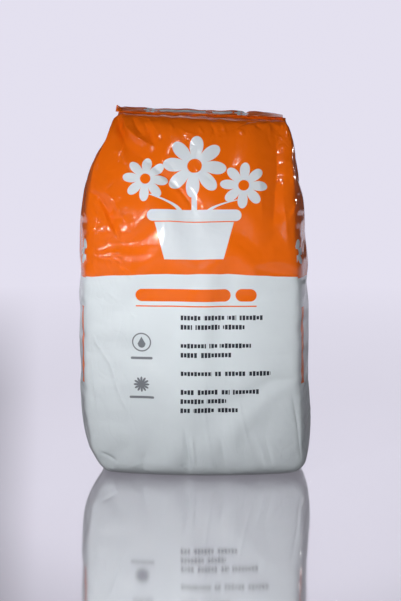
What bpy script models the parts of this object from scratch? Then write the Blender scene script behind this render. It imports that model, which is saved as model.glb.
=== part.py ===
"""A filled bag of growing medium, in gusseted film, standing on its bottom seal.

Metres, +Z up, front panel towards -Y. The origin is on the floor, under the middle of the bag.
The bag is one closed solid: a cube is cut into a net, each point of the net is moved to the
filled bag's surface, the folds are pressed into it, and the top seal is drawn up from its crown.
"""

import math

import bmesh
import bpy
from mathutils import Vector

# The filled bag
WIDTH = 0.460
DEPTH = 0.240
BODY_HEIGHT = 0.713  # floor to the root of the top seal, at the left end
CROWN_FALL = 0.014  # how much lower the crown lies at its right end
CROWN_ROLL = 0.005  # how much lower the crown lies at its front and back edges than under the seal
PRINT_EDGE = 0.396  # height of the lower edge of the coloured print

# The four upright creases, where the front and back panels meet the gussets
CREASE_FROM_SIDE = 0.020
CREASE_FROM_FACE = 0.024

# The gusset's own middle crease, which is drawn in towards each seal
GUSSET_TUCK_TOP = 0.030
GUSSET_TUCK_TOP_REACH = 0.210
GUSSET_TUCK_FOOT = 0.012
GUSSET_TUCK_FOOT_REACH = 0.110
FOOT_SEAL = 0.016  # the foot's tuck dies out over the bottom seal, which lies flat under the bag

# The top seal, and the ear that stands up at its left end
SEAL_THICKNESS = 0.006
SEAL_LENGTH = 0.031
SEAL_LEAN = math.radians(78)
EAR_HEIGHT = 0.010
EAR_LENGTH = 0.016
EAR_INSET = 0.002
RIGHT_END_LENGTH = 0.032  # the seal's right end is folded down over this length
RIGHT_END_DROP = 0.006
RIGHT_END_INSET = 0.010

# How far each side draws in, as pairs of the distance from that end of the bag and the inset
LEFT_SHOULDER = (
    (0, 0.068), (0.012, 0.054), (0.05, 0.041), (0.09, 0.023), (0.13, 0.012), (0.17, 0.006), (0.29, 0),
)
RIGHT_SHOULDER = (
    (0, 0.050), (0.01, 0.036), (0.06, 0.0235), (0.17, 0.018),
    (0.23, 0.0165), (0.3, 0.010), (0.5, 0.008), (0.67, 0),
)
FRONT_SHOULDER = (
    (0, 0.137), (0.006, 0.110), (0.018, 0.085), (0.06, 0.056), (0.12, 0.031), (0.21, 0.010), (0.32, 0),
)
BACK_SHOULDER = ((0, 0.073), (0.012, 0.052), (0.05, 0.031), (0.12, 0.015), (0.2, 0.006), (0.3, 0))
LEFT_FOOT = ((0, 0.042), (0.008, 0.035), (0.032, 0.021), (0.055, 0.011), (0.087, 0.004), (0.15, 0))
RIGHT_FOOT = ((0, 0.032), (0.004, 0.019), (0.010, 0.009), (0.025, 0.002), (0.045, 0))
FRONT_FOOT = ((0, 0.048), (0.006, 0.030), (0.02, 0.016), (0.05, 0.008), (0.12, 0.003), (0.2, 0))
BACK_FOOT = ((0, 0.046), (0.006, 0.028), (0.02, 0.015), (0.05, 0.007), (0.12, 0.002), (0.2, 0))

# The net: how many cells it has across, from front to back and up
CELLS_ACROSS = 30
CELLS_DEEP = 12
CELLS_UP = 46

FILM = (0.70, 0.745, 0.80, 1)
PRINT = (0.86, 0.145, 0.012, 1)

# The flowers printed on the front: the middle of each, on the front panel, and its radius
FLOWERS = (
    ((0.0, -0.100, 0.585), 0.055),
    ((-0.092, -0.104, 0.560), 0.038),
    ((0.092, -0.106, 0.550), 0.039),
)


def fold(start, end, half_width, depth):
    """A straight crease pressed into a panel, from start to end as (x, z) on that panel."""
    return {"start": start, "end": end, "half_width": half_width, "depth": depth}


# Creases of the front panel. A negative depth is a ridge.
FRONT_FOLDS = (
    fold((-0.111, 0.630), (-0.046, 0.579), 0.024, 0.0045),
    fold((-0.046, 0.579), (0.001, 0.506), 0.024, 0.0055),
    fold((0.001, 0.506), (0.087, 0.476), 0.026, 0.0035),
    fold((-0.090, 0.560), (-0.064, 0.480), 0.032, -0.0030),
    fold((-0.212, 0.562), (-0.168, 0.523), 0.014, 0.0065),
    fold((-0.168, 0.523), (-0.141, 0.463), 0.014, 0.0055),
    fold((-0.185, 0.579), (-0.145, 0.527), 0.013, -0.0035),
    fold((-0.188, 0.544), (-0.152, 0.478), 0.012, -0.0030),
    fold((-0.148, 0.690), (-0.124, 0.640), 0.011, 0.0070),
    fold((-0.128, 0.668), (-0.088, 0.640), 0.010, -0.0045),
    fold((-0.098, 0.694), (-0.078, 0.640), 0.010, 0.0040),
    fold((-0.200, 0.250), (-0.128, 0.120), 0.016, 0.0035),
    fold((-0.190, 0.285), (-0.120, 0.330), 0.012, -0.0030),
    fold((-0.166, 0.345), (-0.120, 0.405), 0.012, -0.0030),
    fold((0.156, 0.662), (0.152, 0.480), 0.020, 0.0065),
    fold((0.118, 0.610), (0.130, 0.480), 0.018, -0.0030),
    fold((0.172, 0.570), (0.184, 0.430), 0.014, -0.0030),
    fold((0.160, 0.704), (0.190, 0.660), 0.009, -0.0055),
    fold((0.204, 0.020), (0.196, 0.170), 0.012, 0.0055),
    fold((-0.018, 0.004), (-0.010, 0.088), 0.009, 0.0065),
    fold((0.058, 0.010), (0.054, 0.078), 0.011, 0.0035),
    fold((0.140, 0.008), (0.118, 0.084), 0.011, 0.0045),
    fold((-0.104, 0.006), (-0.088, 0.060), 0.012, 0.0040),
    fold((-0.172, 0.030), (-0.140, 0.066), 0.011, 0.0060),
)

# Creases of the back panel, which no one has pressed flat: a few long ones that run in from the corners
BACK_FOLDS = (
    fold((0.200, 0.590), (0.060, 0.440), 0.026, 0.0050),
    fold((-0.190, 0.560), (-0.060, 0.500), 0.024, 0.0045),
    fold((-0.120, 0.660), (-0.090, 0.560), 0.013, 0.0050),
    fold((0.110, 0.680), (0.090, 0.580), 0.013, 0.0050),
    fold((0.020, 0.690), (0.030, 0.620), 0.013, 0.0040),
    fold((-0.060, 0.006), (-0.050, 0.090), 0.011, 0.0050),
    fold((0.080, 0.006), (0.064, 0.100), 0.011, 0.0050),
    fold((0.200, 0.120), (0.100, 0.220), 0.020, 0.0040),
)

# Creases of the two gussets, as (y, z): they run from the upright creases towards the tuck
LEFT_GUSSET_FOLDS = (
    fold((-0.070, 0.620), (-0.010, 0.560), 0.014, -0.0045),
    fold((0.075, 0.600), (0.020, 0.520), 0.014, 0.0045),
    fold((-0.085, 0.480), (-0.020, 0.400), 0.016, 0.0035),
    fold((-0.080, 0.090), (-0.020, 0.150), 0.015, 0.0040),
    fold((0.080, 0.080), (0.030, 0.170), 0.015, 0.0035),
)
RIGHT_GUSSET_FOLDS = (
    fold((-0.060, 0.640), (-0.010, 0.570), 0.014, 0.0045),
    fold((0.070, 0.620), (0.020, 0.540), 0.014, -0.0040),
    fold((0.085, 0.430), (0.010, 0.360), 0.016, 0.0035),
    fold((-0.075, 0.060), (-0.030, 0.150), 0.014, 0.0040),
    fold((0.080, 0.110), (0.020, 0.180), 0.015, 0.0035),
)


def clear_scene():
    for obj in list(bpy.data.objects):
        bpy.data.objects.remove(obj, do_unlink=True)


def through(points, at):
    """The smooth curve through the points, read at a distance. Past the last point it keeps that point's value."""
    if at >= points[-1][0]:
        return points[-1][1]
    at = max(at, points[0][0])
    slopes = []
    for before, after in zip(points, points[1:]):
        slopes.append((after[1] - before[1]) / (after[0] - before[0]))
    # An inner point takes the harmonic mean of the slopes beside it, so the curve never overshoots.
    tangents = [slopes[0]]
    for left, right in zip(slopes, slopes[1:]):
        tangents.append(2 * left * right / (left + right) if left * right > 0 else 0)
    tangents.append(0)
    spans = zip(points, points[1:], tangents, tangents[1:])
    for (x0, y0), (x1, y1), m0, m1 in spans:
        if at <= x1:
            run = x1 - x0
            t = (at - x0) / run
            rise = (3 - 2 * t) * t * t
            return y0 + (y1 - y0) * rise + run * t * (1 - t) * (m0 * (1 - t) - m1 * t)
    return points[-1][1]


def smooth_step(value):
    value = min(max(value, 0), 1)
    return value * value * (3 - 2 * value)


def edge_steps(cells, crowding):
    """Places from -1 to 1 that share a side into cells, closer together near both ends."""
    places = []
    for i in range(1, cells):
        t = i / cells
        t -= crowding * math.sin(2 * math.pi * t) / (2 * math.pi)
        places.append(2 * t - 1)
    return places


def cut(net, axis, places):
    """Cuts the net with a plane across the axis at each place."""
    across = Vector((0, 0, 0))
    across[axis] = 1
    for place in places:
        everything = net.verts[:] + net.edges[:] + net.faces[:]
        bmesh.ops.bisect_plane(net, geom=everything, plane_co=across * place, plane_no=across)


def rounding(inset, half):
    """How much a side bulges between its corners, so that its corners lie an inset further in."""
    return 2 * (1 - (1 - min(inset / half, 0.6)) ** 2)


def section(height):
    """The bag's cross-section at a height: its reach to the left, right, front and back."""
    drop = BODY_HEIGHT - height
    left = WIDTH / 2 - through(LEFT_SHOULDER, drop) - through(LEFT_FOOT, height)
    right = WIDTH / 2 - through(RIGHT_SHOULDER, drop) - through(RIGHT_FOOT, height)
    front = -DEPTH / 2 + through(FRONT_SHOULDER, drop) + through(FRONT_FOOT, height)
    back = DEPTH / 2 - through(BACK_SHOULDER, drop) - through(BACK_FOOT, height)
    return left, right, front, back


def on_bag(u, v, height):
    """The place on the unfolded bag of a point of the net, whose section is a square from -1 to 1."""
    left, right, front, back = section(height)
    half = left if u < 0 else right
    middle, deep = (front + back) / 2, (back - front) / 2
    x = u * half * math.sqrt(1 - rounding(CREASE_FROM_SIDE, half) * v * v / 2)
    y = middle + v * deep * math.sqrt(1 - rounding(CREASE_FROM_FACE, deep) * u * u / 2)
    fall = CROWN_FALL * (u + 1) / 2 * smooth_step(height / BODY_HEIGHT)
    return Vector((x, y, height - fall))


def tuck_gusset(place, u, v, height):
    """Draws the middle of each gusset in, into a valley that deepens towards the two seals."""
    drop = BODY_HEIGHT - height
    top = GUSSET_TUCK_TOP * smooth_step(1 - drop / GUSSET_TUCK_TOP_REACH)
    foot = GUSSET_TUCK_FOOT * smooth_step(1 - height / GUSSET_TUCK_FOOT_REACH)
    sharp = (1 - abs(v)) ** 1.3
    place.x -= math.copysign((top + foot * min(height / FOOT_SEAL, 1)) * sharp * abs(u) ** 6, u)


def press(place, folds, across, outward):
    """Moves a point of a panel in at each crease near it.

    across is the axis that the panel faces, 0 or 1, and outward is 1 or -1, the way that it faces along it.
    """
    for crease in folds:
        start, end = Vector(crease["start"]), Vector(crease["end"])
        along = end - start
        here = Vector((place[1 - across], place.z)) - start
        t = min(max(here.dot(along) / along.length_squared, 0), 1)
        distance = (here - along * t).length / crease["half_width"]
        # A crease dies out towards its end.
        strength = math.exp(-distance * distance) * (1 - 0.5 * t)
        place[across] -= outward * crease["depth"] * strength


def shape(net, heights):
    """Moves each point of the net onto the bag. heights gives each level's height."""
    for vert in net.verts:
        u, v, w = vert.co
        # The cuts leave rounding in the 32-bit coordinates, so a point takes the level nearest to it.
        level = min(heights, key=lambda known: abs(known - w))
        place = on_bag(u, v, heights[level])
        if level == 1:
            place.z -= CROWN_ROLL * v * v
        if abs(level) < 1:
            tuck_gusset(place, u, v, heights[level])
            if abs(v) == 1:
                press(place, FRONT_FOLDS if v < 0 else BACK_FOLDS, 1, v)
            if abs(u) == 1:
                press(place, LEFT_GUSSET_FOLDS if u < 0 else RIGHT_GUSSET_FOLDS, 0, u)
        vert.co = place


def raise_seal(net, root_faces):
    """Draws the seal up from the crown's middle strip, leaning back, with an ear at its left end."""
    drawn = bmesh.ops.extrude_face_region(net, geom=root_faces)
    bmesh.ops.delete(net, geom=root_faces, context="FACES")
    rim = [item for item in drawn["geom"] if isinstance(item, bmesh.types.BMVert)]
    left_end = min(vert.co.x for vert in rim)
    right_end = max(vert.co.x for vert in rim)
    for vert in rim:
        to_left = vert.co.x - left_end
        ear = smooth_step(1 - to_left / EAR_LENGTH)
        folded = smooth_step(1 - (right_end - vert.co.x) / RIGHT_END_LENGTH)
        vert.co.y += SEAL_LENGTH * math.sin(SEAL_LEAN) * (1 - ear)
        vert.co.z += SEAL_LENGTH * math.cos(SEAL_LEAN) * (1 - ear) + EAR_HEIGHT * ear - RIGHT_END_DROP * folded
        vert.co.x += EAR_INSET * ear - RIGHT_END_INSET * folded


def net_heights():
    """The height of each level of the net, which has one level on the edge of the print."""
    levels = [-1.0, *edge_steps(CELLS_UP, 0.5), 1.0]
    heights = {level: BODY_HEIGHT * (level + 1) / 2 for level in levels}
    nearest = min(levels[1:-1], key=lambda level: abs(heights[level] - PRINT_EDGE))
    heights[nearest] = PRINT_EDGE
    return heights


def filled_bag():
    net = bmesh.new()
    bmesh.ops.create_cube(net, size=2)
    net.normal_update()
    heights = net_heights()
    front, back = section(BODY_HEIGHT)[2:]
    seal_edge = SEAL_THICKNESS / (back - front)
    deep = [place for place in edge_steps(CELLS_DEEP, 0.2) if abs(place) > 2 * seal_edge]
    cut(net, 0, edge_steps(CELLS_ACROSS, 0.35))
    cut(net, 1, [*deep, -seal_edge, seal_edge])
    cut(net, 2, sorted(heights)[1:-1])
    top_faces = [face for face in net.faces if face.normal.z > 0.5]
    seal_root = [face for face in top_faces if abs(face.calc_center_median().y) < seal_edge]
    shape(net, heights)
    raise_seal(net, seal_root)
    bmesh.ops.recalc_face_normals(net, faces=net.faces[:])

    mesh = bpy.data.meshes.new("filled_bag")
    net.to_mesh(mesh)
    net.free()
    mesh.shade_smooth()
    return bpy.data.objects.new("filled_bag", mesh)


def film_material():
    """Pale film, printed in one strong colour above PRINT_EDGE, with three white discs for flowers on it."""
    material = bpy.data.materials.new("printed_film")
    material.use_nodes = True
    nodes, links = material.node_tree.nodes, material.node_tree.links
    surface = nodes["Principled BSDF"]
    surface.inputs["Roughness"].default_value = 0.32
    surface.inputs["Metallic"].default_value = 0
    place = nodes.new("ShaderNodeTexCoord")
    parts = nodes.new("ShaderNodeSeparateXYZ")
    above = nodes.new("ShaderNodeMath")
    above.operation = "GREATER_THAN"
    above.inputs[1].default_value = PRINT_EDGE
    colour = nodes.new("ShaderNodeMix")
    colour.data_type = "RGBA"
    colour.inputs["A"].default_value = FILM
    colour.inputs["B"].default_value = PRINT
    links.new(place.outputs["Object"], parts.inputs[0])
    links.new(parts.outputs["Z"], above.inputs[0])
    links.new(above.outputs[0], colour.inputs["Factor"])
    result = colour.outputs["Result"]
    for middle, radius in FLOWERS:
        away = nodes.new("ShaderNodeVectorMath")
        away.operation = "DISTANCE"
        away.inputs[1].default_value = middle
        near = nodes.new("ShaderNodeMath")
        near.operation = "LESS_THAN"
        near.inputs[1].default_value = radius
        flower = nodes.new("ShaderNodeMix")
        flower.data_type = "RGBA"
        flower.inputs["B"].default_value = FILM
        links.new(place.outputs["Object"], away.inputs[0])
        links.new(away.outputs["Value"], near.inputs[0])
        links.new(near.outputs[0], flower.inputs["Factor"])
        links.new(result, flower.inputs["A"])
        result = flower.outputs["Result"]
    links.new(result, surface.inputs["Base Color"])
    return material


def main():
    clear_scene()
    collection = bpy.data.collections.new("compost_bag")
    bpy.context.scene.collection.children.link(collection)
    bag = filled_bag()
    bag.data.materials.append(film_material())
    collection.objects.link(bag)


main()
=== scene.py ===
# A filled bag of growing medium in printed, gusseted film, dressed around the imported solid.
import math
import random

import bpy
import numpy as np
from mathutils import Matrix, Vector, kdtree
from mathutils.bvhtree import BVHTree


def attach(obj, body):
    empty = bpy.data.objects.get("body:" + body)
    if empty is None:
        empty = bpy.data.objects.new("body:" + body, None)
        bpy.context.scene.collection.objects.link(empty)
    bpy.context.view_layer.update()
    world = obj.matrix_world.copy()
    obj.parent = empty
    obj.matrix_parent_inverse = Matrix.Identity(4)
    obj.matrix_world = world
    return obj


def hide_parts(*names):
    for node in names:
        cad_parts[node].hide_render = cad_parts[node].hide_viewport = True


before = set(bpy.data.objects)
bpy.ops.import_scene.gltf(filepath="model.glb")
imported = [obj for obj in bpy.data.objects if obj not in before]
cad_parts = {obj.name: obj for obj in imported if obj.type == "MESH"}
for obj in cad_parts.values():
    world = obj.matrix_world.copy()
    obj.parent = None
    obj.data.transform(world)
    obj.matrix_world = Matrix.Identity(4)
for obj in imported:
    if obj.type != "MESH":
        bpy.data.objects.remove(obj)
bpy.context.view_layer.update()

# The photograph's view: metres, degrees, and the lens in millimetres on a 36 mm long side
view = {"target": (0.0085, 0, 0.338), "distance": 3.0, "elevation": 7.5, "yaw": 2.0, "lens": 90.5}

# Lamps are placed by their turn from straight in front and their height, in degrees, and their distance;
# a lamp without glints lights the film and isn't mirrored in it
studio = {
    "ground": (0.82, 0.79, 0.90),
    "bounce": (0.04, 0.04, 0.045),  # the floor's colour to the light that it throws back up
    "glow": (0.84, 0.81, 0.94),
    "far": (0.775, 0.75, 0.865),
    "mirror": 0.80,  # how much of what the polished floor shows is its reflection
    "shadow": 0.15,  # how much of it is plain ground, which takes the bag's shadow
    "polish": 0.07,
    "fade": (0.9, 2.2),  # where the floor starts to take the backdrop's colour, and over how far
    "backdrop": {"turned": (0.90, 0.05), "wide": (0.20, 0.06)},  # its edges in a mirrored direction's Y and X
    "sky": 0.29,
    "skyTint": (0.94, 0.95, 1.0),
    "skyTop": 0.7,
    "zenith": 0.06,  # how much of the sky's light is left from skyTop up
    "dimmed": 0.80,  # how much of the sky the room's dark walls keep out of the film's gloss
    "aim": 0.35,  # the height that the lamps point at
    "spread": 27,
    "lamps": {
        "key": {"turn": -29, "height": 13, "away": 2.7, "size": (0.2, 0.3), "power": 0.62, "glints": False},
        "spark": {"turn": -29, "height": 13, "away": 2.7, "size": (0.035, 0.12), "power": 0.17},
        "fill": {"turn": -4, "height": 10, "away": 3.0, "size": (1.0, 1.0), "power": 1.50, "glints": False},
        "overhead": {"turn": -12, "height": 50, "away": 3.0, "size": (0.11, 0.04), "power": 0.165},
        "behind": {"turn": 176, "height": 13, "away": 3.2, "size": (1.2, 1.0), "power": 2.0, "glints": False},
        "backSpark": {"turn": 128, "height": 12, "away": 3.0, "size": (0.05, 0.12), "power": 0.20},
    },
}

bag = {
    "voxel": 0.0042,
    "smoothing": 14,
    "rounding": 60,
    "crown": (0.7131, 0.035),  # the crown's height at x = -0.16, and how much it falls for each metre
    "middle": (0.030, 0.36),  # the load's middle from the front to the back, and up
    "settle": {
        "voxel": 0.012,
        "spare": 0.03,  # how much larger the film is than its load
        "bending": 18,
        "hold": 0.16,
        "cornerHold": 0.40,
        "pressure": 0.15,
        "steps": 20,
        "swelling": 0.85,  # how much of what a neighbourhood does together is taken back out
        "near": 110,  # the points of one neighbourhood
        "keep": 0.42,
        "cap": 0.0034,
    },
    "follow": {"points": 8, "reach": 0.0085},
    "edgeRise": 0.0018,
    "edgeWidth": 0.010,
    "loose": {
        "seed": 11,
        "count": 300,
        "length": (0.015, 0.075),
        "width": (0.005, 0.014),
        "rise": (0.0004, 0.0016),
    },
}


def crease(path, rise, width, other=None):
    # a line folded into the front panel, as points across and up it: rise is out of the panel, and the
    # two widths are the reaches of its flanks to the left and right of the path
    return {"path": path, "rise": rise, "widths": (width, other or width)}


frontCreases = [
    # the sharp lines of the long fold from the left shoulder, which the solid has already, and its companions
    crease([(-0.111, 0.630), (-0.086, 0.613), (-0.067, 0.596), (-0.046, 0.579), (-0.025, 0.562),
            (-0.012, 0.545), (-0.002, 0.527), (0.001, 0.506)], -0.0038, 0.020, 0.011),
    crease([(-0.002, 0.527), (0.022, 0.497), (0.053, 0.485), (0.087, 0.476)], -0.0022, 0.018, 0.012),
    crease([(-0.070, 0.626), (-0.046, 0.608), (-0.025, 0.583)], -0.0018, 0.011),
    crease([(-0.002, 0.609), (0.018, 0.592), (0.036, 0.579), (0.053, 0.574)], -0.0020, 0.018, 0.010),
    crease([(-0.101, 0.596), (-0.077, 0.591), (-0.054, 0.577), (-0.033, 0.561),
            (-0.020, 0.540)], 0.0018, 0.014),
    # the left side's bundle
    crease([(-0.185, 0.579), (-0.175, 0.562), (-0.158, 0.545), (-0.145, 0.527),
            (-0.134, 0.506)], 0.0018, 0.014, 0.009),
    crease([(-0.188, 0.544), (-0.177, 0.525), (-0.163, 0.497), (-0.149, 0.474),
            (-0.140, 0.461)], 0.0018, 0.009, 0.014),
    crease([(-0.212, 0.562), (-0.185, 0.549), (-0.168, 0.523), (-0.154, 0.493),
            (-0.141, 0.463)], -0.0040, 0.011),
    crease([(-0.160, 0.540), (-0.143, 0.521), (-0.128, 0.493)], 0.0016, 0.008),
    crease([(-0.160, 0.446), (-0.147, 0.441), (-0.134, 0.431)], 0.0018, 0.007),
    crease([(-0.153, 0.431), (-0.139, 0.423)], 0.0016, 0.006),
    crease([(-0.148, 0.417), (-0.130, 0.405), (-0.112, 0.386)], 0.0024, 0.008),
    crease([(-0.173, 0.372), (-0.141, 0.348)], 0.0008, 0.006),
    crease([(-0.122, 0.329), (-0.111, 0.317)], 0.0012, 0.006),
    crease([(-0.194, 0.283), (-0.189, 0.268), (-0.176, 0.250)], 0.0030, 0.007),
    crease([(-0.189, 0.266), (-0.163, 0.230), (-0.142, 0.161), (-0.126, 0.132)], 0.0028, 0.008),
    crease([(-0.200, 0.240), (-0.196, 0.190), (-0.188, 0.130)], 0.0026, 0.006),
    crease([(-0.176, 0.190), (-0.172, 0.168)], 0.0026, 0.006),
    # the shoulders
    crease([(-0.155, 0.709), (-0.146, 0.677), (-0.131, 0.643)], -0.0070, 0.013),
    crease([(-0.146, 0.713), (-0.135, 0.680), (-0.110, 0.658), (-0.080, 0.646)], 0.0060, 0.012),
    crease([(-0.128, 0.708), (-0.114, 0.682), (-0.096, 0.662)], -0.0050, 0.011),
    crease([(-0.100, 0.692), (-0.088, 0.668), (-0.078, 0.642)], -0.0040, 0.006, 0.014),
    crease([(-0.093, 0.700), (-0.074, 0.672), (-0.066, 0.650)], 0.0024, 0.008),
    crease([(-0.052, 0.690), (-0.040, 0.672)], 0.0020, 0.008),
    crease([(-0.034, 0.682), (-0.018, 0.668), (0.004, 0.664)], 0.0020, 0.007),
    crease([(-0.020, 0.654), (-0.004, 0.640)], -0.0018, 0.008),
    crease([(0.004, 0.684), (0.016, 0.666)], 0.0020, 0.007),
    crease([(0.026, 0.694), (0.036, 0.676), (0.040, 0.658)], -0.0024, 0.006, 0.012),
    crease([(0.050, 0.690), (0.060, 0.664)], 0.0020, 0.007),
    crease([(0.060, 0.672), (0.080, 0.680), (0.104, 0.694), (0.130, 0.698)], -0.0036, 0.009, 0.013),
    crease([(0.080, 0.680), (0.096, 0.664)], 0.0020, 0.008),
    crease([(0.112, 0.686), (0.132, 0.676)], -0.0030, 0.009),
    crease([(0.140, 0.690), (0.146, 0.664)], 0.0022, 0.008),
    # the right side's upright folds
    crease([(0.155, 0.662), (0.158, 0.600), (0.154, 0.545), (0.150, 0.490)], -0.0030, 0.018, 0.014),
    crease([(0.120, 0.610), (0.127, 0.560), (0.130, 0.500)], 0.0015, 0.013),
    crease([(0.168, 0.560), (0.174, 0.510), (0.182, 0.438)], 0.0018, 0.010),
    crease([(0.198, 0.545), (0.181, 0.503)], 0.0018, 0.007),
    crease([(0.166, 0.703), (0.173, 0.683), (0.181, 0.660)], 0.0028, 0.009),
    crease([(0.189, 0.175), (0.199, 0.117), (0.206, 0.056), (0.210, 0.021)], -0.0022, 0.010),
    # the pleats over the foot, and the faint lines that run up from them
    crease([(-0.018, 0.106), (-0.012, 0.060), (-0.008, 0.012)], -0.0048, 0.007, 0.012),
    crease([(-0.004, 0.100), (-0.001, 0.050), (0.001, 0.012)], 0.0034, 0.007),
    crease([(0.050, 0.090), (0.056, 0.055), (0.062, 0.020)], -0.0020, 0.009, 0.014),
    crease([(0.119, 0.094), (0.131, 0.060), (0.143, 0.016)], 0.0022, 0.009),
    crease([(0.137, 0.088), (0.146, 0.050), (0.154, 0.016)], -0.0020, 0.009),
    crease([(-0.095, 0.060), (-0.100, 0.014)], -0.0018, 0.009),
    crease([(-0.187, 0.052), (-0.166, 0.040), (-0.150, 0.031)], -0.0030, 0.007),
    crease([(-0.150, 0.034), (-0.158, 0.012)], 0.0024, 0.007),
    crease([(0.020, 0.150), (0.026, 0.090), (0.034, 0.040)], 0.0010, 0.008),
    crease([(0.084, 0.170), (0.096, 0.110), (0.112, 0.050)], 0.0011, 0.009),
    crease([(-0.060, 0.130), (-0.056, 0.080), (-0.050, 0.030)], 0.0010, 0.009),
]

# The colours as the film and its ink look in plain light
ink = {
    "film": (0.73, 0.785, 0.82),
    "orange": (0.88, 0.146, 0.004),
    "white": (0.72, 0.765, 0.81),
    "dark": (0.030, 0.034, 0.045),
    "grey": (0.20, 0.215, 0.24),
}

# The printed design, in metres: across from a panel's middle, and up along the film from the foot
layout = {
    "edge": 0.4040,
    "blur": 0.0007,
    # bars are given by their middle across and up, their half width and their half height
    "heading": [(-0.0205, 0.363, 0.0915, 0.0120), (0.1000, 0.363, 0.0200, 0.0120),
                (0.004, 0.3420, 0.116, 0.0012)],
    "gussetBars": [(-0.276, 0.262, 0.008, 0.075), (0.276, 0.262, 0.008, 0.075)],
    "rows": [
        (0.3200, [(-0.027, 0.012), (0.018, 0.058), (0.064, 0.081), (0.087, 0.131)]),
        (0.3020, [(-0.027, -0.004), (0.002, 0.049), (0.055, 0.096)]),
        (0.2660, [(-0.027, 0.023), (0.029, 0.044), (0.050, 0.109)]),
        (0.2480, [(-0.027, 0.006), (0.012, 0.071)]),
        (0.2120, [(-0.027, 0.034), (0.040, 0.052), (0.058, 0.098), (0.104, 0.146)]),
        (0.1760, [(-0.027, 0.000), (0.006, 0.046), (0.052, 0.068), (0.074, 0.124)]),
        (0.1580, [(-0.027, 0.018), (0.024, 0.062)]),
        (0.1400, [(-0.027, -0.008), (-0.002, 0.039), (0.045, 0.084)]),
    ],
    "rowReach": 0.2,  # how far to both sides of the panel's middle a row may go
    "rowHeight": 0.0034,
    "unevenness": 0.0016,
    "block": 0.0066,
    "pot": {"middle": 0.4675, "halfHigh": 0.0355, "base": 0.432, "halfWide": 0.056, "flare": 0.28},
    "rim": (0, 0.5160, 0.090, 0.0110),
    # a stem's foot across and up, its top across and up, and its half width
    "stems": [(0.0, 0.520, 0.0, 0.570, 0.0055), (-0.026, 0.520, -0.084, 0.556, 0.005),
              (0.026, 0.520, 0.084, 0.546, 0.005)],
    # a daisy's middle across and up, and its radius
    "daisies": [(0.0, 0.6120, 0.060), (-0.094, 0.5860, 0.043), (0.094, 0.5740, 0.044)],
    "smallDaisies": [(-0.262, 0.444, 0.026), (0.262, 0.444, 0.026),
                     (-0.092, 0.9135, 0.0135), (0.088, 0.9135, 0.0135)],
    "crownBars": [(-0.028, 0.9135, 0.046, 0.0055), (0.050, 0.9135, 0.020, 0.0055)],
    # the two plain marks, one above the other
    "ring": {"middle": (-0.101, 0.272), "outer": 0.0185, "inner": 0.0160},
    "drop": {"middle": (-0.101, 0.268), "radius": 0.0070, "tip": 0.283, "slope": 0.55},
    "sun": {"middle": (-0.101, 0.190), "rays": 0.0150, "disc": 0.0050},
    "markBars": [(-0.101, 0.2410, 0.021, 0.0024), (-0.101, 0.1640, 0.024, 0.0024)],
}

# The film's own relief in millimetres, and its gloss
texture = {
    # a net of creases: its scale, where its valleys level out, its turn, and its depth
    "creases": [(17.0, 0.040, 0.7, 9.0), (40.0, 0.034, -0.5, 5.0), (85.0, 0.035, 0.2, 1.8)],
    "least": 0.25,  # how much of the net is left where the load draws the film tight
    "streaks": 0.35,
    "load": 0.28,
    "grain": 0.02,
    "roughness": (0.09, 0.08),
    "gloss": 0.42,
    "clouds": 0.6,
}


def deselectAll():
    if bpy.context.object and bpy.context.object.mode != "OBJECT":
        bpy.ops.object.mode_set(mode="OBJECT")
    bpy.ops.object.select_all(action="DESELECT")


def makeActive(piece):
    deselectAll()
    piece.select_set(True)
    bpy.context.view_layer.objects.active = piece


def applyModifier(piece, kind, **settings):
    makeActive(piece)
    modifier = piece.modifiers.new(kind, kind)
    for name, value in settings.items():
        setattr(modifier, name, value)
    bpy.ops.object.modifier_apply(modifier=modifier.name)


def copyOf(piece, name):
    double = bpy.data.objects.new(name, piece.data.copy())
    bpy.context.scene.collection.objects.link(double)
    return double


def pointsOf(piece):
    flat = np.empty(len(piece.data.vertices) * 3, np.float32)
    piece.data.vertices.foreach_get("co", flat)
    return flat.reshape(-1, 3).astype(np.float64)


def normalsOf(piece):
    flat = np.empty(len(piece.data.vertices) * 3, np.float32)
    piece.data.vertices.foreach_get("normal", flat)
    return flat.reshape(-1, 3).astype(np.float64)


def setPoints(piece, points):
    piece.data.vertices.foreach_set("co", points.astype(np.float32).ravel())
    piece.data.update()


def smoothStep(value):
    value = np.clip(value, 0, 1)
    return value * value * (3 - 2 * value)


# Camera, light and room

def makeCamera():
    elevation, yaw = math.radians(view["elevation"]), math.radians(view["yaw"])
    level = math.cos(elevation)
    back = Vector((math.sin(yaw) * level, -math.cos(yaw) * level, math.sin(elevation)))
    camera = bpy.data.objects.new("camera", bpy.data.cameras.new("camera"))
    bpy.context.scene.collection.objects.link(camera)
    camera.location = Vector(view["target"]) + back * view["distance"]
    camera.rotation_euler = (-back).to_track_quat("-Z", "Y").to_euler()
    camera.data.lens = view["lens"]
    bpy.context.scene.camera = camera


def areaLamp(name, turn, height, away, size, power, glints=True):
    lamp = bpy.data.lights.new(name, "AREA")
    lamp.shape = "RECTANGLE"
    lamp.size, lamp.size_y = size
    lamp.energy = power
    lamp.spread = math.radians(studio["spread"])
    holder = bpy.data.objects.new(name, lamp)
    holder.visible_glossy = glints
    bpy.context.scene.collection.objects.link(holder)
    turn, height = math.radians(turn), math.radians(height)
    way = Vector((math.sin(turn) * math.cos(height), -math.cos(turn) * math.cos(height), math.sin(height)))
    holder.location = Vector((0, 0, studio["aim"])) + way * away
    holder.rotation_euler = (-way).to_track_quat("-Z", "Y").to_euler()


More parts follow.
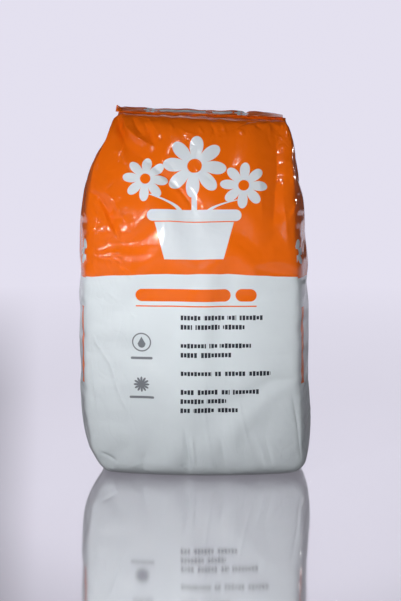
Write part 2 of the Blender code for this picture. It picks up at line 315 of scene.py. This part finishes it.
class Wire:
    # a socket that can be written into sums; each operator adds its Math node
    def __init__(self, maker, socket):
        self.maker, self.socket = maker, socket

    def sum(self, operation, *others):
        return self.maker.node("ShaderNodeMath", {"operation": operation}, dict(enumerate([self, *others])))

    def __add__(self, other):
        return self.sum("ADD", other)

    def __sub__(self, other):
        return self.sum("SUBTRACT", other)

    def __rsub__(self, other):
        return self.maker.node("ShaderNodeMath", {"operation": "SUBTRACT"}, {0: other, 1: self})

    def __mul__(self, other):
        return self.sum("MULTIPLY", other)

    def __truediv__(self, other):
        return self.sum("DIVIDE", other)

    __radd__ = __add__
    __rmul__ = __mul__

    def abs(self):
        return self.sum("ABSOLUTE")

    def most(self, other):
        return self.sum("MAXIMUM", other)

    def least(self, other):
        return self.sum("MINIMUM", other)

    def clamp(self):
        return self.most(0).least(1)

    # from 0 to 1 as the value goes up from start, or down from it, by over
    def rise(self, start, over):
        return ((self - start) / over).clamp()

    def fall(self, start, over):
        return ((start - self) / over).clamp()


class Maker:
    # writes one material's nodes
    def __init__(self, name):
        self.material = bpy.data.materials.new(name)
        self.material.use_nodes = True
        self.tree = self.material.node_tree
        self.tree.nodes.clear()

    def node(self, kind, settings=None, inputs=None, output=0):
        made = self.tree.nodes.new(kind)
        for name, value in (settings or {}).items():
            if name == "stops":
                self.setStops(made.color_ramp, value)
            else:
                setattr(made, name, value)
        for name, value in (inputs or {}).items():
            if isinstance(value, Wire):
                self.tree.links.new(value.socket, made.inputs[name])
            else:
                made.inputs[name].default_value = value
        return Wire(self, made.outputs[output])

    def setStops(self, ramp, stops):
        ramp.interpolation = "CONSTANT"
        for place, level in stops[2:]:
            ramp.elements.new(place)
        for element, (place, level) in zip(ramp.elements, stops):
            element.position = place
        for element, (place, level) in zip(ramp.elements, stops):
            element.color = (level, level, level, 1)

    def mix(self, mask, below, above):
        inputs = {"Factor": mask, "A": below, "B": above}
        return self.node("ShaderNodeMix", {"data_type": "RGBA"}, inputs, "Result")

    def part(self, vector, axis):
        return self.node("ShaderNodeSeparateXYZ", None, {0: vector}, axis)

    def finish(self, surface):
        out = self.tree.nodes.new("ShaderNodeOutputMaterial")
        self.tree.links.new(surface.socket, out.inputs["Surface"])
        return self.material


def rgba(colour):
    return (*colour, 1)


def floorMaterial():
    # a pale polished floor that mirrors the bag's foot, and fades far off into the backdrop's colour
    maker = Maker("studioFloor")
    place = maker.node("ShaderNodeTexCoord", output="Object")
    away = maker.node("ShaderNodeVectorMath", {"operation": "LENGTH"}, {0: place}, "Value")
    speckle = maker.node("ShaderNodeTexNoise", None, {"Vector": place, "Scale": 2.0, "Detail": 2.0})
    shade = maker.mix(speckle * 0.10, rgba(studio["ground"]), rgba([c * 0.95 for c in studio["ground"]]))
    seen = seenDirectly(maker)
    shade = maker.mix(seen, rgba(studio["bounce"]), shade)
    ground = maker.node("ShaderNodeBsdfPrincipled", None, {
        "Base Color": shade, "Roughness": 0.5, "Specular IOR Level": 0.0})
    glow = maker.node("ShaderNodeEmission", None, {"Color": rgba(studio["glow"]), "Strength": 1.0})
    mirror = maker.node("ShaderNodeBsdfGlossy", None, {"Color": (1, 1, 1, 1), "Roughness": studio["polish"]})
    polish = maker.node("ShaderNodeMixShader", None, {0: studio["mirror"], 1: glow, 2: mirror})
    polish = maker.node("ShaderNodeMixShader", None, {0: seen * (1 - studio["shadow"]), 1: ground, 2: polish})
    far = maker.node("ShaderNodeEmission", None, {"Color": rgba(studio["far"]), "Strength": 1.0})
    fade = seen * away.rise(*studio["fade"])
    surface = maker.node("ShaderNodeMixShader", None, {0: fade, 1: polish, 2: far})
    return maker.finish(surface)


def mirrored(maker):
    seen = maker.node("ShaderNodeLightPath", output="Is Glossy Ray")
    return seen.most(maker.node("ShaderNodeLightPath", output="Is Transmission Ray"))


def seenDirectly(maker):
    return mirrored(maker).most(maker.node("ShaderNodeLightPath", output="Is Camera Ray"))


def makeWorld():
    # a dim even sky for the object, and a pale backdrop for whatever looks past it; what mirrors sees the
    # backdrop only behind the bag, where it hangs
    world = bpy.data.worlds.new("studio")
    world.use_nodes = True
    world.node_tree.nodes.clear()
    maker = Maker("unused")
    bpy.data.materials.remove(maker.material)
    maker.tree = world.node_tree
    way = maker.node("ShaderNodeTexCoord", output="Generated")
    above = (maker.part(way, "Z") / studio["skyTop"]).clamp()
    dimmed = maker.node("ShaderNodeLightPath", output="Is Glossy Ray") * studio["dimmed"]
    light = (1 - above * (1 - studio["zenith"])) * (1 - dimmed) * studio["sky"]
    sky = maker.node("ShaderNodeBackground", None, {"Color": rgba(studio["skyTint"]), "Strength": light})
    far = maker.node("ShaderNodeBackground", None, {"Color": rgba(studio["far"]), "Strength": 1.0})
    backdrop = studio["backdrop"]
    behind = maker.part(way, "Y").rise(*backdrop["turned"])
    behind = behind * maker.part(way, "X").abs().fall(*backdrop["wide"])
    seen = maker.node("ShaderNodeLightPath", output="Is Camera Ray").most(mirrored(maker) * behind)
    shown = maker.node("ShaderNodeMixShader", None, {0: seen, 1: sky, 2: far})
    out = world.node_tree.nodes.new("ShaderNodeOutputWorld")
    world.node_tree.links.new(shown.socket, out.inputs["Surface"])
    bpy.context.scene.world = world


def makeRoom():
    deselectAll()
    bpy.ops.mesh.primitive_circle_add(vertices=96, radius=9, fill_type="NGON")
    floor = bpy.context.object
    floor.name = "studio_floor"
    floor.data.materials.append(floorMaterial())
    makeWorld()
    for name, lamp in studio["lamps"].items():
        areaLamp(name + "Lamp", **lamp)
    print("room: floor and", len(studio["lamps"]), "lamps")


# The bag's film

def plainBag():
    # a copy of the solid, with its seal's strip cut off at the crown, given an even net
    film = copyOf(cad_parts["filled_bag"], "bag_film")
    height, fall = bag["crown"]
    makeActive(film)
    bpy.ops.object.mode_set(mode="EDIT")
    bpy.ops.mesh.select_all(action="SELECT")
    bpy.ops.mesh.remove_doubles(threshold=0.00001)
    bpy.ops.mesh.select_all(action="SELECT")
    bpy.ops.mesh.bisect(plane_co=(-0.16, 0, height), plane_no=(fall, 0, 1), use_fill=True, clear_outer=True)
    bpy.ops.object.mode_set(mode="OBJECT")
    applyModifier(film, "REMESH", mode="VOXEL", voxel_size=bag["voxel"])
    applyModifier(film, "SMOOTH", factor=0.5, iterations=bag["smoothing"])
    # the full part's upright corners are round, and they sharpen towards the two seals
    points, normals = pointsOf(film), normalsOf(film)
    roundness = smoothStep((points[:, 2] - 0.03) / 0.10) * smoothStep((0.60 - points[:, 2]) / 0.20)
    roundness *= smoothStep(np.abs(normals[:, 0] * normals[:, 1]) / 0.12 + 0.15)
    corners = film.vertex_groups.new(name="corners")
    for index, weight in enumerate(roundness):
        if weight > 0:
            corners.add([index], float(weight), "REPLACE")
    applyModifier(film, "SMOOTH", factor=0.5, iterations=bag["rounding"], vertex_group="corners")
    film.vertex_groups.clear()
    return film


def settledFolds(film):
    # the film is cut a little larger than its load, so a coarse copy is let crumple round it
    settle = bag["settle"]
    loose = copyOf(film, "loose_film")
    applyModifier(loose, "REMESH", mode="VOXEL", voxel_size=settle["voxel"])
    before, normals = pointsOf(loose), normalsOf(loose)
    corner = np.abs(normals[:, 0] * normals[:, 1])
    hold = settle["hold"] + settle["cornerHold"] * smoothStep(corner / 0.30)
    hold = np.where(before[:, 2] > 0.690, 0.5, hold)
    hold = np.where(before[:, 2] < 0.014, 1.0, hold)
    held = loose.vertex_groups.new(name="held")
    for index, weight in enumerate(hold):
        held.add([index], float(weight), "REPLACE")
    makeActive(loose)
    cloth = loose.modifiers.new("crumple", "CLOTH")
    stuff = cloth.settings
    stuff.quality = 5
    stuff.mass = 0.2
    stuff.tension_stiffness = stuff.compression_stiffness = 20
    stuff.shear_stiffness = 12
    stuff.bending_stiffness = settle["bending"]
    stuff.air_damping = 2
    stuff.vertex_group_mass = "held"
    stuff.shrink_min = stuff.shrink_max = -settle["spare"]
    stuff.use_pressure = True
    stuff.uniform_pressure_force = settle["pressure"]
    stuff.effector_weights.gravity = 0
    cloth.point_cache.frame_start, cloth.point_cache.frame_end = 1, settle["steps"]
    for step in range(1, settle["steps"] + 1):
        bpy.context.scene.frame_set(step)
    makeActive(loose)
    bpy.ops.object.modifier_apply(modifier=cloth.name)
    moved = pointsOf(loose) - before
    bpy.context.scene.frame_set(1)
    bpy.data.objects.remove(loose)
    tree = kdtree.KDTree(len(before))
    for index, point in enumerate(before):
        tree.insert(point, index)
    tree.balance()
    # what the whole neighbourhood does together is swelling, and only the folds are kept
    near = np.array([[found[1] for found in tree.find_n(point, settle["near"])] for point in before])
    folds = (moved - settle["swelling"] * moved[near].mean(axis=1)) * settle["keep"]
    length = np.linalg.norm(folds, axis=1)
    folds *= (np.minimum(length, settle["cap"]) / np.maximum(length, 1e-9))[:, None]
    print("bag: film settled, folds up to", round(float(length.max()) * 1000, 1), "mm")
    return tree, folds


def followFolds(points, tree, folds):
    # each point of the fine net moves with the coarse net's points round it
    moved = np.zeros_like(points)
    for index, point in enumerate(points):
        found = tree.find_n(point, bag["follow"]["points"])
        weights = np.exp(-(np.array([f[2] for f in found]) / bag["follow"]["reach"]) ** 2) + 1e-9
        moved[index] = (folds[[f[1] for f in found]] * weights[:, None]).sum(axis=0) / weights.sum()
    return moved


def flankProfile(points, path, widths):
    # 1 on the path, falling to 0 at each flank's width, with a sharp line on the path itself
    path = np.array(path, float)
    nearest = np.full(len(points), 1e9)
    along = np.zeros(len(points))
    side = np.zeros(len(points))
    lengths = np.linalg.norm(np.diff(path, axis=0), axis=1)
    total, done = lengths.sum(), 0.0
    for start, end, length in zip(path, path[1:], lengths):
        step = (end - start) / length
        offset = points - start
        t = np.clip(offset @ step, 0, length)
        distance = np.linalg.norm(offset - t[:, None] * step, axis=1)
        closer = distance < nearest
        nearest[closer] = distance[closer]
        along[closer] = done + t[closer]
        if path.shape[1] == 2:
            side[closer] = (step[0] * offset[:, 1] - step[1] * offset[:, 0])[closer]
        done += length
    width = np.where(side > 0, widths[0], widths[1])
    fade = min(0.4 * total, 0.035)
    ends = smoothStep(along / fade) * smoothStep((total - along) / fade)
    return np.clip(1 - nearest / width, 0, 1) ** 2 * (0.15 + 0.85 * ends)


def pressFront(points, normals):
    facing = smoothStep((-normals[:, 1] - 0.05) / 0.3)
    flat = points[:, [0, 2]]
    lift = np.zeros(len(points))
    for line in frontCreases:
        lift += line["rise"] * flankProfile(flat, line["path"], line["widths"])
    return (lift * facing)[:, None] * normals


def pressAround(points, normals):
    # small chance creases all over, closer together on the shoulders and over the foot
    loose = bag["loose"]
    chance = random.Random(loose["seed"])
    lift = np.zeros(len(points))
    for number in range(loose["count"]):
        index = chance.randrange(len(points))
        start, normal = Vector(points[index]), Vector(normals[index])
        anyWay = Vector((chance.uniform(-1, 1), chance.uniform(-1, 1), chance.uniform(-1, 1)))
        across = normal.cross(anyWay).normalized()
        reach = chance.uniform(*loose["length"])
        bend = normal.cross(across) * chance.uniform(-0.25, 0.25) * reach
        path = [start - across * reach / 2, start + bend * 0.5, start + across * reach / 2]
        width = chance.uniform(*loose["width"])
        rise = chance.uniform(*loose["rise"]) * chance.choice((-1, 1))
        # the panels' middles are drawn tight by the load, and the front's left edge less than its right
        middle = 0.30 + 0.70 * smoothStep((abs(start.z - 0.36) - 0.16) / 0.16)
        if normal.y < -0.6:
            slackLeft = smoothStep((-start.x - 0.10) / 0.05) * smoothStep((start.z - 0.22) / 0.2)
            middle = max(middle * 0.6, 0.8 * slackLeft)
        near = np.nonzero(np.abs(points - np.array(start)).max(axis=1) < reach / 2 + width)[0]
        lift[near] += rise * middle * flankProfile(points[near], [tuple(p) for p in path], (width, width))
    return lift[:, None] * normals


def uprightCreases(points, normals):
    # the four factory folds between the panels stand a little proud, as a sharp line
    lift = np.zeros(len(points))
    for sideways in (-1, 1):
        for facing in (-1, 1):
            ours = (points[:, 0] * sideways > 0.05) & (normals[:, 0] * sideways > 0.2)
            ours &= normals[:, 1] * facing > 0.2
            split = np.abs(np.abs(normals[:, 0]) - np.abs(normals[:, 1])) < 0.22
            path = []
            for low in np.arange(0.02, 0.70, 0.02):
                found = points[ours & split & (points[:, 2] >= low) & (points[:, 2] < low + 0.02)]
                if len(found):
                    path.append(tuple(found.mean(axis=0)))
            if len(path) > 3:
                path = np.array(path)
                path[1:-1] = (path[:-2] + path[1:-1] + path[2:]) / 3
                lift += bag["edgeRise"] * flankProfile(points, path, (bag["edgeWidth"], bag["edgeWidth"]))
    # they fade where the bag is full
    lift *= 0.12 + 0.88 * smoothStep((np.abs(points[:, 2] - 0.33) - 0.19) / 0.12)
    return lift[:, None] * normals


def profileLengths(film, facing):
    # how far up the film each place of a panel lies, from rays at its smooth form: facing is -1 in front
    tree = BVHTree.FromObject(film, bpy.context.evaluated_depsgraph_get())
    columns = np.linspace(-0.222, 0.222, 38)
    angles = np.radians(np.linspace(-88, 90, 140))
    middleY, middleZ = bag["middle"]
    lengths = np.zeros((len(columns), len(angles)))
    for row, x in enumerate(columns):
        path, last = [], 0.12
        for angle in angles:
            way = Vector((0, facing * math.cos(angle), math.sin(angle)))
            hit = tree.ray_cast(Vector((x, middleY, middleZ)), way)[3]
            last = hit or last
            path.append((middleY + way.y * last, middleZ + way.z * last))
        path = np.array(path)
        walked = np.concatenate([[0], np.cumsum(np.linalg.norm(np.diff(path, axis=0), axis=1))])
        start = np.interp(0.3, path[:80, 1], walked[:80])
        lengths[row] = walked - start + 0.3
    return columns, angles, lengths


def upTheFilm(points, facing, columns, angles, lengths):
    middleY, middleZ = bag["middle"]
    angle = np.arctan2(points[:, 2] - middleZ, facing * (points[:, 1] - middleY))
    column = np.clip(np.interp(points[:, 0], columns, np.arange(len(columns))), 0, len(columns) - 1.001)
    step = np.clip(np.interp(angle, angles, np.arange(len(angles))), 0, len(angles) - 1.001)
    c, s = column.astype(int), step.astype(int)
    cf, sf = column - c, step - s
    low = lengths[c, s] * (1 - sf) + lengths[c, s + 1] * sf
    high = lengths[c + 1, s] * (1 - sf) + lengths[c + 1, s + 1] * sf
    return low * (1 - cf) + high * cf


def layPrint(film):
    # a UV map in metres on the unrolled film, made before it is folded; both wide panels carry the design
    points, normals = pointsOf(film), normalsOf(film)
    upFront = upTheFilm(points, -1, *profileLengths(film, -1))
    upBack = upTheFilm(points, 1, *profileLengths(film, 1))
    mesh = film.data
    corners = np.empty(len(mesh.loops), np.int32)
    mesh.loops.foreach_get("vertex_index", corners)
    faceOf = np.repeat(np.arange(len(mesh.polygons)), [len(p.vertices) for p in mesh.polygons])
    faceNormal = np.zeros((len(mesh.polygons), 3))
    facePlace = np.zeros((len(mesh.polygons), 3))
    np.add.at(faceNormal, faceOf, normals[corners])
    np.add.at(facePlace, faceOf, points[corners] / 4)
    aside, ahead, upward = np.abs(faceNormal).T
    gusset = (aside > ahead) & (aside > 0.7 * upward)
    front = ~gusset & np.where(upward > 3.4, facePlace[:, 1] < bag["middle"][0], faceNormal[:, 1] < 0)
    gusset, front = gusset[faceOf], front[faceOf]
    x, y, z = points[corners].T
    side = np.sign(x)
    across = np.where(gusset, side * (0.35 + y), np.where(front, x, -x))
    up = np.where(gusset, z, np.where(front, upFront[corners], upBack[corners]))
    layer = mesh.uv_layers.new(name="print")
    layer.data.foreach_set("uv", np.stack([across, up], axis=1).astype(np.float32).ravel())
    for z in (0.40, 0.64, 0.70):
        index = np.argmin(np.abs(points[:, 0]) + np.abs(points[:, 2] - z) + 10 * (normals[:, 1] > 0))
        print("bag: height", z, "is", round(float(upFront[index]), 4), "up the film")


def makeBag():
    film = plainBag()
    tree, folds = settledFolds(film)
    applyModifier(film, "SUBSURF", levels=1, render_levels=1)
    print("bag: net of", len(film.data.vertices), "points")
    points = pointsOf(film)
    points[:, 2] -= points[:, 2].min()
    setPoints(film, points)
    layPrint(film)
    normals = normalsOf(film)
    moved = uprightCreases(points, normals) + pressFront(points, normals) + pressAround(points, normals)
    moved += followFolds(points, tree, folds)
    # the foot stays flat on the floor
    moved *= smoothStep((points[:, 2] - 0.001) / 0.012)[:, None]
    setPoints(film, points + moved)
    film.data.shade_smooth()
    return film


# The printed film's material

def printedFilm():
    maker = Maker("printedFilm")
    place = maker.node("ShaderNodeUVMap", {"uv_map": "print"})
    u, v = maker.part(place, "X"), maker.part(place, "Y")
    solid = maker.node("ShaderNodeTexCoord", output="Object")

    def inside(distance):
        return (0.5 - distance / layout["blur"]).clamp()

    def box(cu, cv, halfWide, halfHigh):
        return inside(((u - cu).abs() - halfWide).most((v - cv).abs() - halfHigh))

    def roundBar(cu, cv, halfWide, halfHigh):
        beyond = ((u - cu).abs() - (halfWide - halfHigh)).most(0)
        return inside((beyond * beyond + (v - cv) * (v - cv)).sum("SQRT") - halfHigh)

    def awayFrom(cu, cv):
        ends = {0: place, 1: (cu, cv, 0)}
        return maker.node("ShaderNodeVectorMath", {"operation": "DISTANCE"}, ends, "Value")

    def disc(cu, cv, radius):
        return inside(awayFrom(cu, cv) - radius)

    def daisy(cu, cv, radius, petals=8, turn=0.0):
        wave = ((v - cv).sum("ARCTAN2", u - cu) * (petals / 2) + turn).sum("COSINE").abs().sum("POWER", 0.62)
        bloom = inside(awayFrom(cu, cv) - (wave * (0.62 * radius) + 0.40 * radius))
        return (bloom - disc(cu, cv, 0.235 * radius)).clamp()

    def stem(u0, v0, u1, v1, half):
        t = (v - v0) / (v1 - v0)
        curve = t * t * (u1 - u0) + u0
        length = box((u0 + u1) / 2, (v0 + v1) / 2, abs(u1 - u0) / 2 + half, (v1 - v0) / 2)
        return inside((u - curve).abs() - half) * length

    wander = {"W": u, "Scale": 22.0, "Detail": 1.0}
    wander = maker.node("ShaderNodeTexNoise", {"noise_dimensions": "1D"}, wander)
    bow = u.abs().least(0.225)
    edge = layout["edge"] - bow * bow * 0.2 + (wander - 0.5) * 0.003
    colour = maker.mix(inside(edge - v), rgba(ink["film"]), rgba(ink["orange"]))

    def together(marks):
        whole = marks[0]
        for mark in marks[1:]:
            whole = whole.most(mark)
        return whole

    # the flowers in their pot, and the small ones on the gussets and on the crown's strip
    pot = layout["pot"]
    wall = u.abs() - (v - pot["base"]) * pot["flare"] - pot["halfWide"]
    white = [inside(wall.most((v - pot["middle"]).abs() - pot["halfHigh"])), roundBar(*layout["rim"])]
    white += [stem(*line) for line in layout["stems"]]
    white += [daisy(*flower, turn=0.3) for flower in layout["daisies"]]
    white += [daisy(*flower, petals=6) for flower in layout["smallDaisies"]]
    white += [roundBar(*bar) for bar in layout["crownBars"]]
    colour = maker.mix(together(white), colour, rgba(ink["white"]))

    # the heading's bars and thin line, and the gussets' upright bars
    bars = [roundBar(*bar) for bar in layout["heading"]] + [box(*bar) for bar in layout["gussetBars"]]
    colour = maker.mix(together(bars), colour, rgba(ink["orange"]))

    # rows of short dark blocks of uneven height: each row's words are a ramp across the panel
    blocks = ((u / layout["block"]).sum("FRACT") - 0.5).abs()
    blocks = ((0.43 - blocks) / 0.08).clamp()
    count = (u / layout["block"]).sum("FLOOR")
    rows = []
    reach = layout["rowReach"]
    for height, words in layout["rows"]:
        stops = [(0.0, 0.0)]
        for start, end in words:
            stops += [((start + reach) / (2 * reach), 1.0), ((end + reach) / (2 * reach), 0.0)]
        row = maker.node("ShaderNodeValToRGB", {"stops": stops}, {0: (u + reach) / (2 * reach)})
        chance = {"W": count * 3.7 + height * 91}
        uneven = maker.node("ShaderNodeTexWhiteNoise", {"noise_dimensions": "1D"}, chance)
        tall = uneven * layout["unevenness"] + layout["rowHeight"]
        rows.append(row * inside((v - height).abs() - tall) * blocks)
    colour = maker.mix(together(rows), colour, rgba(ink["dark"]))

    # two plain marks: a drop in a ring, and a sun
    ring, drop, sun = layout["ring"], layout["drop"], layout["sun"]
    dropU, dropV = drop["middle"]
    tip = ((u - dropU).abs() + (v - drop["tip"]) * drop["slope"]).most(dropV - v)
    marks = [disc(*ring["middle"], ring["outer"]) - disc(*ring["middle"], ring["inner"])]
    marks += [disc(dropU, dropV, drop["radius"]), inside(tip)]
    marks += [daisy(*sun["middle"], sun["rays"], petals=12), disc(*sun["middle"], sun["disc"])]
    marks += [roundBar(*bar) for bar in layout["markBars"]]
    colour = maker.mix(together(marks).clamp(), colour, rgba(ink["grey"]))

    def noise(vector, scale, detail, **others):
        inputs = {"Vector": vector, "Scale": scale, "Detail": detail, **others}
        return maker.node("ShaderNodeTexNoise", None, inputs)

    cloud = noise(solid, 14.0, 3.0, Roughness=0.55)
    dulled = maker.node("ShaderNodeVectorMath", {"operation": "MULTIPLY"}, {0: colour, 1: (0.80, 0.80, 0.82)})
    colour = maker.mix((cloud - 0.42).clamp() * texture["clouds"], colour, dulled)

    # the film's relief: sharp lines where it has been creased and pulled flat again, upright streaks over
    # the foot, and the marks of the load behind it
    def creased(scale, level, turn, depth):
        turned = {"Vector": solid, "Rotation": (0.0, turn, 0.0), "Scale": (1.0, 1.0, 0.5)}
        wave = noise(maker.node("ShaderNodeMapping", None, turned), scale, 1.5, Distortion=0.5)
        return (wave - 0.5).abs().least(level) * depth

    # the film is slack at the shoulders, along the front's left edge, over the foot and on the gussets
    x, z = maker.part(solid, "X"), maker.part(solid, "Z")
    slack = z.rise(0.62, 0.06).most(x.fall(-0.10, 0.05) * z.rise(0.05, 0.08))
    slack = slack.most(z.fall(0.07, 0.05) * 0.6).most(x.abs().rise(0.18, 0.03) * 0.6)
    slack = slack * (1 - texture["least"]) + texture["least"]
    upright = maker.node("ShaderNodeMapping", None, {"Vector": solid, "Scale": (70.0, 70.0, 9.0)})
    streaks = noise(upright, 1.0, 2.0) * z.fall(0.30, 0.2) * texture["streaks"]
    load = noise(solid, 38.0, 4.0, Roughness=0.6)
    first, second, third = [creased(*net) for net in texture["creases"]]
    relief = (first + second + third) * slack + streaks + load * texture["load"]
    relief = relief + noise(solid, 260.0, 2.0) * texture["grain"]
    bump = maker.node("ShaderNodeBump", None, {"Strength": 1.0, "Distance": 0.001, "Height": relief})
    smooth, marked = texture["roughness"]
    surface = maker.node("ShaderNodeBsdfPrincipled", None, {
        "Base Color": colour, "Roughness": load * marked + smooth, "IOR": 1.5,
        "Specular IOR Level": texture["gloss"], "Normal": bump})
    return maker.finish(surface)


# The welded strip along the crown

topSeal = {
    "left": -0.1600,
    "right": 0.1700,
    "root": 0.022,
    "length": 0.039,
    "lean": 80.5,
    "thick": 0.0014,
    "sunk": 0.003,  # how deep its root stands in the crown
    "crimp": 0.0002,
    "ear": {"long": 0.016, "high": 0.0105, "turned": 0.003},
    "fold": {"long": 0.034, "drop": 0.005},  # its right end, which is folded down
    "nick": {"x": 0.096, "reach": 0.004, "depth": 0.0034},
    "hump": {"x": 0.122, "reach": 0.016, "height": 0.0012},
    "print": (0.9, 0.7),  # where its part of the print map starts, and the map's length for a metre of strip
}


def makeTopSeal():
    deselectAll()
    bpy.ops.mesh.primitive_grid_add(x_subdivisions=168, y_subdivisions=10, size=1)
    seal = bpy.context.object
    seal.name = "top_seal"
    points = pointsOf(seal)
    span = topSeal["right"] - topSeal["left"]
    x = topSeal["left"] + (points[:, 0] + 0.5) * span
    up = (points[:, 1] + 0.5)
    height, fall = bag["crown"]
    crown = height - fall * (x + 0.16)
    earForm, fold, nick, hump = topSeal["ear"], topSeal["fold"], topSeal["nick"], topSeal["hump"]
    ear = smoothStep(1 - (x - topSeal["left"]) / earForm["long"])
    folded = smoothStep(1 - (topSeal["right"] - x) / fold["long"])
    lean = np.radians(topSeal["lean"]) + 0.020 * np.sin(x * 61) + 0.014 * np.sin(x * 143 + 1.0)
    reach = topSeal["length"] * (1 - ear) * up
    edge = hump["height"] * np.exp(-((x - hump["x"]) / hump["reach"]) ** 2)
    edge -= nick["depth"] * np.exp(-((x - nick["x"]) / nick["reach"]) ** 2)
    raised = earForm["high"] * ear ** 2 + edge - fold["drop"] * folded
    out = np.stack([
        x + earForm["turned"] * ear * up + 0.0006 * np.sin(x * 90) * up,
        topSeal["root"] + reach * np.sin(lean) - 0.0005 * (1 - up),
        crown - topSeal["sunk"] * (1 - up) + reach * np.cos(lean) + raised * up,
    ], axis=1)
    out[:, 1] += topSeal["crimp"] * np.sin(up * math.pi * 9) * (up > 0.25)
    setPoints(seal, out)
    applyModifier(seal, "SOLIDIFY", thickness=topSeal["thick"], offset=0)
    applyModifier(seal, "SUBSURF", levels=1, render_levels=1)
    seal.data.shade_smooth()
    layer = seal.data.uv_layers.active or seal.data.uv_layers.new(name="print")
    layer.name = "print"
    corners = np.empty(len(seal.data.loops), np.int32)
    seal.data.loops.foreach_get("vertex_index", corners)
    ends = pointsOf(seal)[corners]
    start, scale = topSeal["print"]
    up = start + scale * (ends[:, 1] - topSeal["root"])
    layer.data.foreach_set("uv", np.stack([ends[:, 0], up], axis=1).astype(np.float32).ravel())
    print("seal: strip of", len(seal.data.vertices), "points")
    return seal


makeCamera()
makeRoom()
bagFilm = makeBag()
sealStrip = makeTopSeal()
filmMaterial = printedFilm()
for piece in (bagFilm, sealStrip):
    piece.data.materials.clear()
    piece.data.materials.append(filmMaterial)
    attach(piece, "root")
    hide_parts("filled_bag")

bpy.context.scene.view_settings.view_transform = "Standard"
